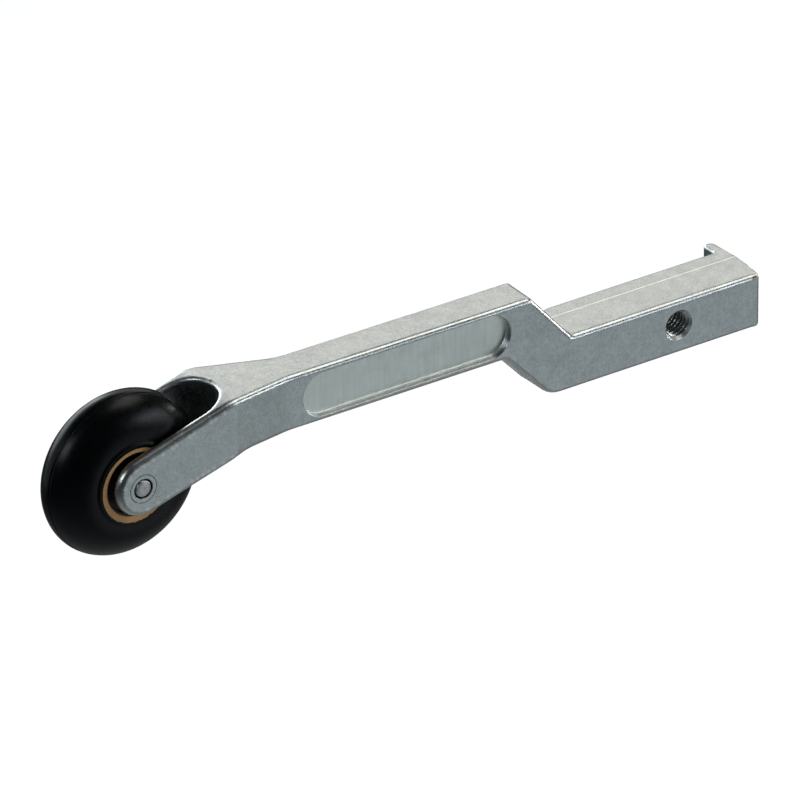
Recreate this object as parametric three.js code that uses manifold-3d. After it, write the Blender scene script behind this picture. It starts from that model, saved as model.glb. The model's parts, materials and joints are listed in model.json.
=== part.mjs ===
// Roller arm for a sliding door or gate: a die-cast lever whose fork carries a rubber-tyred
// ball-bearing roller, and whose shank is held by one M6 screw.
//
// Millimetres, +Z up. The origin is on the shank's flat seat (its back face), 6 mm below its top.
// +X runs along the shank to its free end, +Y points out of the seat, and the arm leads to -X.
import * as THREE from 'three';
import { mergeVertices } from 'three/addons/utils/BufferGeometryUtils.js';
import Module from 'manifold-3d';

const wasm = await Module();
wasm.setup();
const { Manifold, Mesh } = wasm;

// ---- Driving dimensions -------------------------------------------------------------------

// Shank: the square-cornered bar that is screwed down.
const SHANK_TOP_Z = 6;
const SHANK_BOTTOM_Z = -6.3;
const SHANK_DEPTH = 13.2;
const SHANK_END_X = 33.5;
const SHANK_END_BULGE = 0.85;
const FRONT_Y = -SHANK_DEPTH;

// Cross hole through the shank, tapped M6: drilled to the core and countersunk at both mouths.
const TAP_X = 13.2;
const TAP_Z = 0.3;
const TAP_CORE_RADIUS = 2.5;
const TAP_MOUTH_RADIUS = 3.4;

// Hook nose at the back corner of the shank's free end.
const NOSE_SIDE_X = 31.6;
const NOSE_END_X = 34.1;
const NOSE_REACH = 4.2;
const NOSE_ROUND = 1.1;
const NOSE_FILLET = 1.2;

// Step: the sloping joggle between the shank and the arm.
const STEP_FOOT_X = -13.2;
const STEP_CREST_X = -23.3;
const STEP_ARMPIT_X = -29.4;
const STEP_HEEL_X = -18.7;
const HEEL_RADIUS = 6;
const CREST_RADIUS = 1.4;
const STEP_FLARE_START_X = -20.5;
const STEP_FLARE_END_X = -11;

// Arm: a plate flush with the shank's front face, rising very slightly towards the fork.
const ARM_THICKNESS = 8.75;
const ARM_TOP_AT_STEP = 17.55;
const ARM_TOP_AT_FORK = 17.95;
const ARM_BOTTOM_AT_STEP = 5.25;
const ARM_BOTTOM_AT_FORK = 5.45;
const ARM_BACK_Y = FRONT_Y + ARM_THICKNESS;

// Pocket in the arm's front face, with full-round ends. Its floor is a little smaller than its mouth.
const POCKET_LEFT_X = -73.8;
const POCKET_RIGHT_X = -33.3;
const POCKET_Z = 11.55;
const POCKET_RADIUS = 4.85;
const POCKET_FLOOR_RADIUS = 4.7;
const POCKET_FLOOR_SHIFT_X = 0.1;
const POCKET_FLOOR_SHIFT_Z = 0.05;
const POCKET_DEPTH = 1.5;

// Fork: two ears that slope down to the axle, on the shank's centre plane.
const AXLE_X = -118.2;
const AXLE_Z = 5.1;
const FORK_Y = FRONT_Y / 2;
const FORK_WIDTH = 17.6;
const FORK_ROOT_X = -96.3;
const FORK_FLARE_FRONT_X = -82;
const FORK_FLARE_BACK_X = -79.5;
const EAR_RADIUS = 6.5;
const EAR_RISE = -0.1;
const EAR_TIP_SETBACK = 0.5;
const EAR_SLOPE = THREE.MathUtils.degToRad(16.2);
const SLOT_WIDTH = 13.4;
const SLOT_END_X = -95.8;
const EAR_BORE_RADIUS = 2.08;

// Axle pin and the washers that space the bearings off the ears.
const PIN_RADIUS = 2;
const PIN_CHAMFER = 0.3;
const SPACER_RADIUS = 3.2;
const SPACER_BORE_RADIUS = 2.1;
const SPACER_END_GAP = 0.05;

// Roller: rubber tyre on a hub sleeve that holds two 4 x 13 x 5 mm ball bearings.
const HUB_WIDTH = 12.6;
const HUB_RADIUS = 8.5;
const HUB_BORE_RADIUS = 6.53;
const HUB_CHAMFER = 0.42;
const TYRE_RADIUS = 17.75;
const TYRE_BORE_RADIUS = 8.53;
const TYRE_FLANK_RADIUS = 9;
const TYRE_HALF_WIDTH = 6.1;
const TYRE_CROWN_POWER = 1.9;

// Ball bearing, 4 mm bore, 13 mm outside, 5 mm wide.
const BEARING_BORE_RADIUS = 2.03;
const BEARING_RADIUS = 6.5;
const BEARING_WIDTH = 5;
const BEARING_PAIR_GAP = 0.04;
const PITCH_RADIUS = 4.25;
const BALL_RADIUS = 1.19;
const BALLS_PER_BEARING = 7;
const GROOVE_RADIUS = 1.25;
const INNER_SHOULDER_RADIUS = 3.3;
const OUTER_SHOULDER_RADIUS = 5.15;
const SEAL_SEAT_RADIUS = 5.5;
const SEAL_INNER_RADIUS = 3.4;
const SEAL_OUTER_RADIUS = 5.46;
const SEAL_THICKNESS = 0.3;
const SEAL_RECESS = 0.15;
const SEAL_SEAT_GAP = 0.02;
const CAGE_INNER_RADIUS = 3.75;
const CAGE_OUTER_RADIUS = 4.75;
const CAGE_FRONT = -0.7;
const CAGE_BACK = 1.75;
const CAGE_POCKET_RADIUS = 1.29;

// Facets: how finely the round surfaces are cut.
const TYRE_SEGMENTS = 64;
const TYRE_CROWN_STEPS = 12;
const RING_SEGMENTS = 40;
const HOLE_SEGMENTS = 32;
const GROOVE_STEPS = 5;
const BALL_SEGMENTS = 12;
const BALL_RINGS = 6;
const ARC_STEPS = 6;
const OVERCUT = 2;
const CUT_HALF_HEIGHT = 24;
const MERGE_DISTANCE = 1e-5;

// ---- Materials ----------------------------------------------------------------------------

const material = (color, roughness, metalness) =>
  new THREE.MeshStandardMaterial({ color, roughness, metalness });
const CAST_ZINC = material(0xa9aeae, 0.45, 0.9);
const RUBBER = material(0x101114, 0.55, 0);
const BRONZE = material(0xb08050, 0.6, 0.3);
const STEEL = material(0xc4c6c8, 0.3, 1);
const SEAL_RUBBER = material(0x17181a, 0.6, 0);
const CAGE_NYLON = material(0xd8d2bf, 0.5, 0);

// ---- Small geometry tools -----------------------------------------------------------------

const point = (x, y) => new THREE.Vector2(x, y);

// Points along a circular arc, angles in radians, ends included.
function arc(cx, cy, radius, from, to, steps) {
  const points = [];
  for (let i = 0; i <= steps; i += 1) {
    const angle = from + ((to - from) * i) / steps;
    points.push(point(cx + radius * Math.cos(angle), cy + radius * Math.sin(angle)));
  }
  return points;
}

// A corner rounded to a radius: the arc that touches both of its straight sides.
function roundedCorner(before, corner, after, radius, steps = ARC_STEPS) {
  const toBefore = before.clone().sub(corner).normalize();
  const toAfter = after.clone().sub(corner).normalize();
  const halfAngle = Math.acos(toBefore.dot(toAfter)) / 2;
  const bisector = toBefore.clone().add(toAfter).normalize();
  const centre = corner.clone().addScaledVector(bisector, radius / Math.sin(halfAngle));
  const reach = radius / Math.tan(halfAngle);
  const start = corner.clone().addScaledVector(toBefore, reach).sub(centre);
  const turn = Math.PI - 2 * halfAngle;
  const way = Math.sign(toAfter.cross(toBefore));
  return arc(centre.x, centre.y, radius, start.angle(), start.angle() + way * turn, steps);
}

// An outline in the XZ plane pushed along +Y from y0 to y1.
function extrudeAlongY(outline, y0, y1) {
  const shape = new THREE.Shape(outline);
  const geometry = new THREE.ExtrudeGeometry(shape, { depth: y1 - y0, bevelEnabled: false });
  geometry.rotateX(Math.PI / 2);
  return geometry.translate(0, y1, 0);
}

// An outline in the XY plane pushed along +Z from z0 to z1.
function extrudeAlongZ(outline, z0, z1) {
  const shape = new THREE.Shape(outline);
  const geometry = new THREE.ExtrudeGeometry(shape, { depth: z1 - z0, bevelEnabled: false });
  return geometry.translate(0, 0, z0);
}

// A closed profile of (radius, y) points turned about the Y axis.
function turned(profile, segments) {
  return new THREE.LatheGeometry([...profile, profile[0].clone()], segments);
}

// A solid spindle: a (radius, y) profile that starts and ends on the Y axis.
function spindle(profile, segments) {
  return new THREE.LatheGeometry(profile, segments);
}

function toSolid(geometry) {
  const bare = geometry.clone();
  bare.deleteAttribute('normal');
  bare.deleteAttribute('uv');
  const merged = mergeVertices(bare, MERGE_DISTANCE);
  return new Manifold(new Mesh({
    numProp: 3,
    vertProperties: Float32Array.from(merged.attributes.position.array),
    triVerts: Uint32Array.from(merged.index.array),
  }));
}

function toGeometry(solid) {
  const mesh = solid.getMesh();
  const geometry = new THREE.BufferGeometry();
  geometry.setAttribute('position', new THREE.BufferAttribute(mesh.vertProperties, 3));
  geometry.setIndex(new THREE.BufferAttribute(mesh.triVerts, 1));
  geometry.computeVertexNormals();
  return geometry;
}

function named(name, geometry, surface) {
  const mesh = new THREE.Mesh(geometry, surface);
  mesh.name = name;
  return mesh;
}

// ---- Arm casting --------------------------------------------------------------------------

// Side view of the casting, (x, z), from the shank's lower free corner.
function sideOutline() {
  const endX = SHANK_END_X + OVERCUT;
  const shankEndTop = point(endX, SHANK_TOP_Z);
  const foot = point(STEP_FOOT_X, SHANK_TOP_Z);
  const crest = point(STEP_CREST_X, ARM_TOP_AT_STEP);
  const armpit = point(STEP_ARMPIT_X, ARM_BOTTOM_AT_STEP);
  const heel = point(STEP_HEEL_X, SHANK_BOTTOM_Z);
  const shankEndBottom = point(endX, SHANK_BOTTOM_Z);

  // The ear's edges are tangent to its round end, so each is placed by its touching point.
  const normal = point(-Math.sin(EAR_SLOPE), Math.cos(EAR_SLOPE));
  const along = point(Math.cos(EAR_SLOPE), Math.sin(EAR_SLOPE));
  const earCentre = point(AXLE_X, AXLE_Z)
    .addScaledVector(normal, EAR_RISE)
    .addScaledVector(along, EAR_TIP_SETBACK);
  const upperTouch = earCentre.clone().addScaledVector(normal, EAR_RADIUS);
  const lowerTouch = earCentre.clone().addScaledVector(normal, -EAR_RADIUS);
  const run = (z, touch) => touch.x + (z - touch.y) / Math.tan(EAR_SLOPE);
  const upperBend = point(run(ARM_TOP_AT_FORK, upperTouch), ARM_TOP_AT_FORK);
  const lowerBend = point(run(ARM_BOTTOM_AT_FORK, lowerTouch), ARM_BOTTOM_AT_FORK);
  const startAngle = EAR_SLOPE + Math.PI / 2;

  return [
    shankEndBottom,
    shankEndTop,
    foot,
    ...roundedCorner(foot, crest, upperBend, CREST_RADIUS),
    upperBend,
    ...arc(earCentre.x, earCentre.y, EAR_RADIUS, startAngle, startAngle + Math.PI, 2 * ARC_STEPS),
    lowerBend,
    armpit,
    ...roundedCorner(armpit, heel, shankEndBottom, HEEL_RADIUS),
  ];
}

// Top view of the casting, (x, y), from the shank's front free corner.
function planOutline() {
  const forkFrontY = FORK_Y - FORK_WIDTH / 2;
  const forkBackY = FORK_Y + FORK_WIDTH / 2;
  const tipX = AXLE_X - 2 * EAR_RADIUS;
  const endBulge = point(SHANK_END_X + SHANK_END_BULGE, ARM_BACK_Y);
  const noseEnd = point(NOSE_END_X, NOSE_REACH);
  const noseSide = point(NOSE_SIDE_X, NOSE_REACH);
  const noseRoot = point(NOSE_SIDE_X, 0);
  const seat = point(STEP_FLARE_END_X, 0);
  return [
    point(SHANK_END_X, FRONT_Y),
    endBulge,
    ...roundedCorner(endBulge, noseEnd, noseSide, NOSE_ROUND),
    ...roundedCorner(noseEnd, noseSide, noseRoot, NOSE_ROUND),
    ...roundedCorner(noseSide, noseRoot, seat, NOSE_FILLET),
    seat,
    point(STEP_FLARE_START_X, ARM_BACK_Y),
    point(FORK_FLARE_BACK_X, ARM_BACK_Y),
    point(FORK_ROOT_X, forkBackY),
    point(tipX, forkBackY),
    point(tipX, forkFrontY),
    point(FORK_ROOT_X, forkFrontY),
    point(FORK_FLARE_FRONT_X, FRONT_Y),
  ];
}

// Slot between the ears, open at the tip and full-round at its inner end.
function slotOutline() {
  const half = SLOT_WIDTH / 2;
  const tipX = AXLE_X - 2 * EAR_RADIUS;
  return [
    point(tipX, FORK_Y - half),
    ...arc(SLOT_END_X - half, FORK_Y, half, -Math.PI / 2, Math.PI / 2, 3 * ARC_STEPS),
    point(tipX, FORK_Y + half),
  ];
}

// Round-ended outline in the XZ plane, with as many points whatever its radius.
function stadium(leftX, rightX, z, radius) {
  const { PI } = Math;
  return [
    ...arc(rightX, z, radius, -PI / 2, PI / 2, 2 * ARC_STEPS),
    ...arc(leftX, z, radius, PI / 2, 1.5 * PI, 2 * ARC_STEPS),
  ];
}

// Cutter for the pocket, tapering from its mouth to its floor.
function pocketCutter() {
  const mouth = stadium(POCKET_LEFT_X, POCKET_RIGHT_X, POCKET_Z, POCKET_RADIUS);
  const floor = stadium(
    POCKET_LEFT_X + POCKET_FLOOR_SHIFT_X,
    POCKET_RIGHT_X + POCKET_FLOOR_SHIFT_X,
    POCKET_Z + POCKET_FLOOR_SHIFT_Z,
    POCKET_FLOOR_RADIUS,
  );
  const corners = [
    ...mouth.map(({ x, y }) => [x, FRONT_Y - OVERCUT, y]),
    ...mouth.map(({ x, y }) => [x, FRONT_Y, y]),
    ...floor.map(({ x, y }) => [x, FRONT_Y + POCKET_DEPTH, y]),
  ];
  return Manifold.hull(corners);
}

// Plain cylinder along Y at (x, z).
function crossBore(x, z, radius, y0, y1) {
  const geometry = new THREE.CylinderGeometry(radius, radius, y1 - y0, HOLE_SEGMENTS);
  return toSolid(geometry.translate(x, (y0 + y1) / 2, z));
}

// Cutter for the tapped hole: its core and a 45-degree countersink at each face.
function tappedHole() {
  const sink = TAP_MOUTH_RADIUS - TAP_CORE_RADIUS;
  const profile = [
    point(0, FRONT_Y - OVERCUT),
    point(TAP_MOUTH_RADIUS + OVERCUT, FRONT_Y - OVERCUT),
    point(TAP_CORE_RADIUS, FRONT_Y + sink),
    point(TAP_CORE_RADIUS, -sink),
    point(TAP_MOUTH_RADIUS + OVERCUT, OVERCUT),
    point(0, OVERCUT),
  ];
  return toSolid(spindle(profile, HOLE_SEGMENTS).translate(TAP_X, 0, TAP_Z));
}

function armCasting() {
  const backY = FORK_Y + FORK_WIDTH / 2 + NOSE_REACH;
  const frontY = FORK_Y - FORK_WIDTH / 2;
  const side = toSolid(extrudeAlongY(sideOutline(), frontY - OVERCUT, backY));
  const plan = toSolid(extrudeAlongZ(planOutline(), -CUT_HALF_HEIGHT, CUT_HALF_HEIGHT));
  const slot = toSolid(extrudeAlongZ(slotOutline(), -CUT_HALF_HEIGHT, CUT_HALF_HEIGHT));
  const solid = side
    .intersect(plan)
    .subtract(slot)
    .subtract(pocketCutter())
    .subtract(tappedHole())
    .subtract(crossBore(AXLE_X, AXLE_Z, EAR_BORE_RADIUS, frontY - OVERCUT, backY));
  return named('arm_casting', toGeometry(solid), CAST_ZINC);
}

// ---- Axle ---------------------------------------------------------------------------------

function axlePin() {
  const half = FORK_WIDTH / 2;
  const profile = [
    point(0, -half),
    point(PIN_RADIUS - PIN_CHAMFER, -half),
    point(PIN_RADIUS, -half + PIN_CHAMFER),
    point(PIN_RADIUS, half - PIN_CHAMFER),
    point(PIN_RADIUS - PIN_CHAMFER, half),
    point(0, half),
  ];
  return named('axle_pin', spindle(profile, HOLE_SEGMENTS), STEEL);
}

// Plain ring with a rectangular section, between y0 and y1.
function plainRing(innerRadius, outerRadius, y0, y1, segments) {
  const profile = [
    point(innerRadius, y0),
    point(outerRadius, y0),
    point(outerRadius, y1),
    point(innerRadius, y1),
  ];
  return turned(profile, segments);
}

// Washer between an ear and the nearer bearing's inner ring. Side is -1 in front, +1 behind.
function spacer(name, side) {
  const inner = side * (BEARING_WIDTH + BEARING_PAIR_GAP / 2 + SPACER_END_GAP);
  const outer = side * (SLOT_WIDTH / 2 - SPACER_END_GAP);
  const ends = [inner, outer].sort((a, b) => a - b);
  return named(name, plainRing(SPACER_BORE_RADIUS, SPACER_RADIUS, ...ends, RING_SEGMENTS), STEEL);
}

// ---- Roller -------------------------------------------------------------------------------

// Tyre with a superelliptic crown, a little fuller than a straight taper and slimmer than an ellipse.
function tyre() {
  const power = 2 / TYRE_CROWN_POWER;
  const crown = [];
  for (let i = 0; i <= TYRE_CROWN_STEPS; i += 1) {
    const angle = -Math.PI / 2 + (Math.PI * i) / TYRE_CROWN_STEPS;
    const rise = Math.max(Math.cos(angle), 0) ** power;
    const reach = Math.sign(angle) * Math.abs(Math.sin(angle)) ** power;
    const radius = TYRE_FLANK_RADIUS + (TYRE_RADIUS - TYRE_FLANK_RADIUS) * rise;
    crown.push(point(radius, TYRE_HALF_WIDTH * reach));
  }
  const profile = [
    point(TYRE_BORE_RADIUS, -TYRE_HALF_WIDTH),
    ...crown,
    point(TYRE_BORE_RADIUS, TYRE_HALF_WIDTH),
  ];
  return named('tyre', turned(profile, TYRE_SEGMENTS), RUBBER);
}

function hubSleeve() {
  const half = HUB_WIDTH / 2;
  const profile = [
    point(HUB_BORE_RADIUS, -half + HUB_CHAMFER),
    point(HUB_BORE_RADIUS + HUB_CHAMFER, -half),
    point(HUB_RADIUS, -half),
    point(HUB_RADIUS, half),
    point(HUB_BORE_RADIUS + HUB_CHAMFER, half),
    point(HUB_BORE_RADIUS, half - HUB_CHAMFER),
  ];
  return named('hub_sleeve', turned(profile, RING_SEGMENTS), BRONZE);
}

// Ball groove in a ring, as the arc between the ring's two shoulders.
function grooveArc(shoulderRadius, outward) {
  const reach = Math.acos(Math.abs(PITCH_RADIUS - shoulderRadius) / GROOVE_RADIUS);
  const middle = outward ? 0 : Math.PI;
  return arc(PITCH_RADIUS, 0, GROOVE_RADIUS, middle - reach, middle + reach, GROOVE_STEPS);
}

function innerRing(name) {
  const half = BEARING_WIDTH / 2;
  const profile = [
    point(BEARING_BORE_RADIUS, -half),
    point(INNER_SHOULDER_RADIUS, -half),
    ...grooveArc(INNER_SHOULDER_RADIUS, false).reverse(),
    point(INNER_SHOULDER_RADIUS, half),
    point(BEARING_BORE_RADIUS, half),
  ];
  return named(name, turned(profile, RING_SEGMENTS), STEEL);
}

function outerRing(name) {
  const half = BEARING_WIDTH / 2;
  const seat = half - SEAL_RECESS - SEAL_THICKNESS;
  const profile = [
    point(SEAL_SEAT_RADIUS, -half),
    point(BEARING_RADIUS, -half),
    point(BEARING_RADIUS, half),
    point(SEAL_SEAT_RADIUS, half),
    point(SEAL_SEAT_RADIUS, seat),
    point(OUTER_SHOULDER_RADIUS, seat),
    ...grooveArc(OUTER_SHOULDER_RADIUS, true).reverse(),
    point(OUTER_SHOULDER_RADIUS, -seat),
    point(SEAL_SEAT_RADIUS, -seat),
  ];
  return named(name, turned(profile, RING_SEGMENTS), STEEL);
}

function ballAngle(index) {
  return (2 * Math.PI * index) / BALLS_PER_BEARING;
}

function onPitchCircle(geometry, index) {
  const angle = ballAngle(index);
  return geometry.translate(PITCH_RADIUS * Math.cos(angle), 0, PITCH_RADIUS * Math.sin(angle));
}

function ball(name, index) {
  const geometry = new THREE.SphereGeometry(BALL_RADIUS, BALL_SEGMENTS, BALL_RINGS);
  return named(name, onPitchCircle(geometry, index), STEEL);
}

// Crown cage: a ring behind the balls whose prongs stand between them.
function cage(name) {
  const ring = plainRing(
    CAGE_INNER_RADIUS, CAGE_OUTER_RADIUS, CAGE_FRONT, CAGE_BACK, RING_SEGMENTS,
  );
  let solid = toSolid(ring);
  for (let i = 0; i < BALLS_PER_BEARING; i += 1) {
    const pocket = new THREE.SphereGeometry(CAGE_POCKET_RADIUS, BALL_SEGMENTS, BALL_RINGS);
    solid = solid.subtract(toSolid(onPitchCircle(pocket, i)));
  }
  return named(name, toGeometry(solid), CAGE_NYLON);
}

function seal(name, side) {
  const outer = side * (BEARING_WIDTH / 2 - SEAL_RECESS);
  const inner = side * (BEARING_WIDTH / 2 - SEAL_RECESS - SEAL_THICKNESS + SEAL_SEAT_GAP);
  const ends = [inner, outer].sort((a, b) => a - b);
  const ring = plainRing(SEAL_INNER_RADIUS, SEAL_OUTER_RADIUS, ...ends, RING_SEGMENTS);
  return named(name, ring, SEAL_RUBBER);
}

// One whole ball bearing. Its cage stands on the side that faces the other bearing.
function bearing(label, side) {
  const assembly = new THREE.Group();
  assembly.position.y = side * (BEARING_WIDTH + BEARING_PAIR_GAP) / 2;
  assembly.add(outerRing(`${label}_bearing_outer_ring`));
  assembly.add(innerRing(`${label}_bearing_inner_ring`));
  assembly.add(seal(`${label}_bearing_front_seal`, -1));
  assembly.add(seal(`${label}_bearing_rear_seal`, 1));
  assembly.add(cage(`${label}_bearing_cage`));
  for (let i = 0; i < BALLS_PER_BEARING; i += 1) {
    assembly.add(ball(`${label}_bearing_ball_${i + 1}`, i));
  }
  return assembly;
}

// ---- Assembly -----------------------------------------------------------------------------

const roller = new THREE.Group();
roller.position.set(AXLE_X, FORK_Y, AXLE_Z);
roller.add(axlePin());
roller.add(spacer('front_spacer', -1));
roller.add(spacer('rear_spacer', 1));
roller.add(tyre());
roller.add(hubSleeve());
roller.add(bearing('front', -1));
roller.add(bearing('rear', 1));

const group = new THREE.Group();
group.add(armCasting());
group.add(roller);

export default group;
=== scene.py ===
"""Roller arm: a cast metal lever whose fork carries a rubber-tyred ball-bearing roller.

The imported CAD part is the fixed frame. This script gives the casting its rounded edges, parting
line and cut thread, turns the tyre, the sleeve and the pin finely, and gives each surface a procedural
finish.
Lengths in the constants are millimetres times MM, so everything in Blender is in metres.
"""

import json
import math

import bpy
import numpy as np
from mathutils import Matrix, Vector


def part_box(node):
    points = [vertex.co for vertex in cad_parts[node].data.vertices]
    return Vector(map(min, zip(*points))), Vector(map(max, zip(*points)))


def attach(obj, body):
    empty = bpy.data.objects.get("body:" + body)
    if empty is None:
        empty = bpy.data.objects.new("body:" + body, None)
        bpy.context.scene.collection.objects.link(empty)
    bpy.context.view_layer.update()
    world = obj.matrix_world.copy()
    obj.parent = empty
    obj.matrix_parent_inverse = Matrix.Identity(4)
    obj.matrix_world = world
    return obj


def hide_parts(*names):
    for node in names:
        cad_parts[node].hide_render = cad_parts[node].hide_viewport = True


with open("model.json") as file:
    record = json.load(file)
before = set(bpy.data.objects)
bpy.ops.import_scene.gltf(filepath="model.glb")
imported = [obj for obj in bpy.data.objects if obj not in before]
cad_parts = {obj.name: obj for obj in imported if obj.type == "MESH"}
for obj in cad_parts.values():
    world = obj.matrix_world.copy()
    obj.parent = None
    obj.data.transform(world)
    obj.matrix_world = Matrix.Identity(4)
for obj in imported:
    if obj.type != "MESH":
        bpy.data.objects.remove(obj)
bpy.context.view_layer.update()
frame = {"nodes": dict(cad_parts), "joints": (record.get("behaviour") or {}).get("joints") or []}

MM = 0.001

# ---- Where things are, from the frame ------------------------------------------------------

AXLE = Vector(frame["joints"][0]["pos_m"])
CAST_LOW, CAST_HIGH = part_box("arm_casting")
TYRE_LOW, TYRE_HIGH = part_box("tyre")
HUB_LOW, HUB_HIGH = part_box("hub_sleeve")
PIN_LOW, PIN_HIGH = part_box("axle_pin")
BEARING_LABELS = ("front", "rear")
BALLS_PER_BEARING = 7

# ---- Casting dimensions --------------------------------------------------------------------

SHANK_END_X = CAST_HIGH.x
SHANK_END_FRONT_X = 33.5 * MM
SHANK_TOP_Z = 6 * MM
SHANK_BOTTOM_Z = -6.3 * MM
FRONT_Y = -13.2 * MM
SEAT_Y = 0.0
STEP_FOOT_X = -13.2 * MM
STEP_CREST_X = -23.3 * MM
STEP_ARMPIT_X = -29.4 * MM
STEP_HEEL_X = -18.7 * MM
STEP_FLARE_START_X = -20.5 * MM
STEP_FLARE_END_X = -11 * MM
ARM_TOP_AT_STEP = 17.55 * MM
ARM_TOP_AT_FORK = 17.95 * MM
ARM_BOTTOM_AT_STEP = 5.25 * MM
ARM_BOTTOM_AT_FORK = 5.45 * MM
ARM_BACK_Y = -4.45 * MM
FORK_FRONT_Y = PIN_LOW.y
FORK_BACK_Y = PIN_HIGH.y
FORK_ROOT_X = -96.3 * MM
FORK_FLARE_FRONT_X = -82 * MM
FORK_FLARE_BACK_X = -79.5 * MM
EAR_RADIUS = 6.5 * MM
EAR_RISE = -0.1 * MM
EAR_TIP_SETBACK = 0.5 * MM
EAR_SLOPE = math.radians(16.2)
SLOT_HALF_WIDTH = 6.7 * MM
SLOT_END_X = -95.8 * MM
NOSE_SIDE_X = 31.6 * MM
NOSE_END_X = 34.1 * MM
NOSE_TOP_Y = CAST_HIGH.y
POCKET_LEFT_X = -73.8 * MM
POCKET_RIGHT_X = -33.3 * MM
POCKET_Z = 11.55 * MM
POCKET_RADIUS = 4.85 * MM
POCKET_DEPTH = 1.5 * MM
TAP_X = 13.2 * MM
TAP_Z = 0.3 * MM

# ---- Fine form of the casting --------------------------------------------------------------

VOXEL = 0.32 * MM
FRONT_TOP_ROUND = 1.1 * MM
FRONT_BOTTOM_ROUND = 1.0 * MM
BACK_ROUND = 0.55 * MM
EAR_FRONT_ROUND = 1.3 * MM
EAR_BACK_ROUND = 0.8 * MM
SHANK_END_ROUND = 0.35 * MM
SLOT_MOUTH_ROUND = 0.6 * MM
POCKET_RIM_ROUND = 0.18 * MM
POCKET_FLOOR_ROUND = 0.3 * MM
POCKET_DRAFT = math.tan(math.radians(5))
SHANK_PARTING_Y = -4.25 * MM
ARM_PARTING_Y = ARM_BACK_Y - 0.55 * MM
PARTING_RIDGE = 0.05 * MM
PARTING_WIDTH = 0.3 * MM
FRONT_DRAFT = math.tan(math.radians(0.7))
BACK_DRAFT = math.tan(math.radians(1.6))
THREAD_PITCH = 1.0 * MM
THREAD_MINOR_RADIUS = 2.5 * MM
THREAD_MAJOR_RADIUS = 3.05 * MM
THREAD_MOUTH_RADIUS = 3.4 * MM
CUTTER_SEGMENTS = 64
PIN_BORE_RADIUS = 2.09 * MM
PIN_BORE_RIM = 0.12 * MM
STAKE_RADIUS = 3.05 * MM
STAKE_DEPTH = 0.035 * MM
SHARP_ANGLE = math.radians(38)
ARM_MIDDLE_AT_FORK_Z = 11.7 * MM
ARM_MIDDLE_AT_STEP_Z = 11.5 * MM
EAR_BLEND_X = (-112 * MM, -98 * MM)
TOP_BLEND_Z = (-3 * MM, 3 * MM)
BACK_BLEND_Y = (-10 * MM, -7 * MM)
END_BLEND_LENGTH = 2 * MM
SLOT_OVERRUN = 4 * EAR_RADIUS


# ---- Mesh helpers --------------------------------------------------------------------------

def new_object(name, vertices, faces):
    """A mesh object at the origin, linked to the scene and shaded smooth."""
    mesh = bpy.data.meshes.new(name)
    mesh.from_pydata(vertices, [], faces)
    mesh.validate()
    mesh.shade_smooth()
    piece = bpy.data.objects.new(name, mesh)
    bpy.context.scene.collection.objects.link(piece)
    return piece


def sharpen(piece, angle=SHARP_ANGLE):
    """Keeps edges that bend more than angle crisp."""
    piece.data.set_sharp_from_angle(angle=angle)
    return piece


def turned(name, profile, segments, centre=AXLE, closed=True, wobble=None):
    """Turns (radius, y) points about the Y line through centre.

    A closed profile makes a ring, and an open one, whose ends lie on the axis, a spindle. The
    profile runs anticlockwise, seen with radius to the right and y up. wobble(angle, radius, y)
    may add to a point's radius."""
    angles = [2 * math.pi * i / segments for i in range(segments)]
    vertices = []
    rows = []
    for radius, y in profile:
        if radius == 0:
            rows.append([len(vertices)] * segments)
            vertices.append((centre.x, centre.y + y, centre.z))
            continue
        rows.append([len(vertices) + i for i in range(segments)])
        for angle in angles:
            r = radius + (wobble(angle, radius, y) if wobble else 0)
            vertices.append((centre.x + r * math.cos(angle), centre.y + y, centre.z + r * math.sin(angle)))
    pairs = list(zip(rows, rows[1:]))
    if closed:
        pairs.append((rows[-1], rows[0]))
    faces = []
    for low, high in pairs:
        for i in range(segments):
            j = (i + 1) % segments
            corners = [low[i], high[i], high[j], low[j]]
            face = [c for n, c in enumerate(corners) if c != corners[n - 1]]
            if len(face) > 2:
                faces.append(face)
    return new_object(name, vertices, faces)


def round_profile(corners, steps=4):
    """(radius, y) points of a closed profile, from corners given as (radius, y, rounding)."""
    points = []
    count = len(corners)
    for i, (x, y, rounding) in enumerate(corners):
        if rounding == 0:
            points.append((x, y))
            continue
        here = Vector((x, y))
        to_last = (Vector(corners[i - 1][:2]) - here).normalized()
        to_next = (Vector(corners[(i + 1) % count][:2]) - here).normalized()
        half = to_last.angle(to_next) / 2
        middle = (to_last + to_next).normalized()
        centre = here + middle * (rounding / math.sin(half))
        start = here + to_last * (rounding / math.tan(half)) - centre
        end = here + to_next * (rounding / math.tan(half)) - centre
        sweep = math.atan2(start.x * end.y - start.y * end.x, start.dot(end))
        for k in range(steps + 1):
            turn = sweep * k / steps
            spoke = Matrix.Rotation(turn, 2) @ start
            points.append((centre.x + spoke.x, centre.y + spoke.y))
    return points


def cut(piece, cutter):
    """Takes the cutter's volume out of the piece, and removes the cutter."""
    change = piece.modifiers.new("cut", "BOOLEAN")
    change.operation = "DIFFERENCE"
    change.solver = "MANIFOLD"
    change.object = cutter
    depsgraph = bpy.context.evaluated_depsgraph_get()
    mesh = bpy.data.meshes.new_from_object(piece.evaluated_get(depsgraph))
    piece.modifiers.clear()
    piece.data = mesh
    bpy.data.objects.remove(cutter)
    return piece


# ---- Casting: signed distances, negative inside the metal -----------------------------------

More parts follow.
